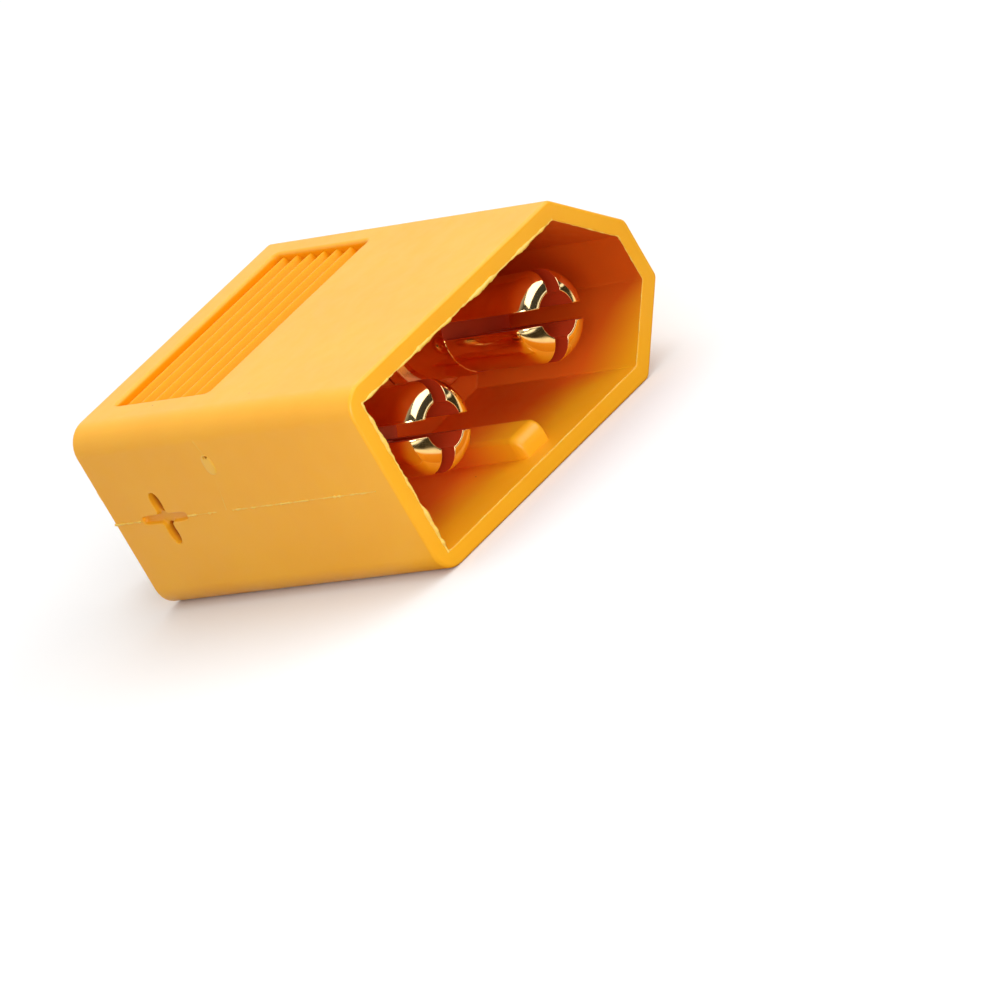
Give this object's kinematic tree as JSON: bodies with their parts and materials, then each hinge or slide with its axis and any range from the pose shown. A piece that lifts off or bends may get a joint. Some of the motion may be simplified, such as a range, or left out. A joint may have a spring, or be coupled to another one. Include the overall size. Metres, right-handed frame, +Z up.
{
  "type": "power connector plug",
  "caption": "Keyed power connector plug: a moulded shroud with chamfered polarity edges round slotted, gold-plated pins that end in open solder cups.",
  "frame": {"origin": "middle of the underside of the whole plug, solder cups included, as it lies flat", "axes": "-Y out of the mouth and +Y out of the solder cups, +Z up out of the upper ridged face, -X out of the square positive side and +X out of the chamfered negative side"},
  "size_m": [0.0156, 0.0192, 0.008],
  "materials": {
    "nylon": "moulded nylon, amber yellow, satin",
    "gold_plated_brass": "turned brass with a polished gold plating"
  },
  "bodies": {
    "root": {"housing": "nylon", "contact_positive": "gold_plated_brass", "contact_negative": "gold_plated_brass"}
  },
  "joints": []
}
